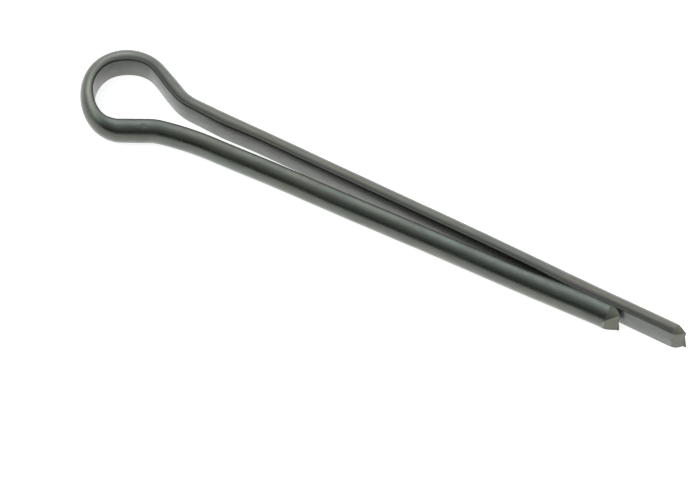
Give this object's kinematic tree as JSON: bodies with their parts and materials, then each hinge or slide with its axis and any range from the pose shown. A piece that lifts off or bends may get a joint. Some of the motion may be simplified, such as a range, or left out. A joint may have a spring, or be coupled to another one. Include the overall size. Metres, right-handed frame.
{
  "type": "cotter pin",
  "caption": "Split pin of half-round wire: an open eye, two reverse-bent necks and two legs of unequal length with chisel tips, to lock a nut or a shaft in place.",
  "frame": {"origin": "on the shank's axis, where the eye stops against the rim of the hole, at half the wire's width", "axes": "+X along the shank from the eye to the tips; +Y towards the side with the long leg, in the plane of the fold; +Z across the flat side of the wire, up as the pin lies"},
  "size_m": [0.054, 0.0082, 0.0028],
  "materials": {
    "steel": "dull satin zinc-coated steel wire, lightly scuffed, with bare burred tips"
  },
  "bodies": {
    "root": {"cotter_pin": "steel"}
  },
  "joints": []
}
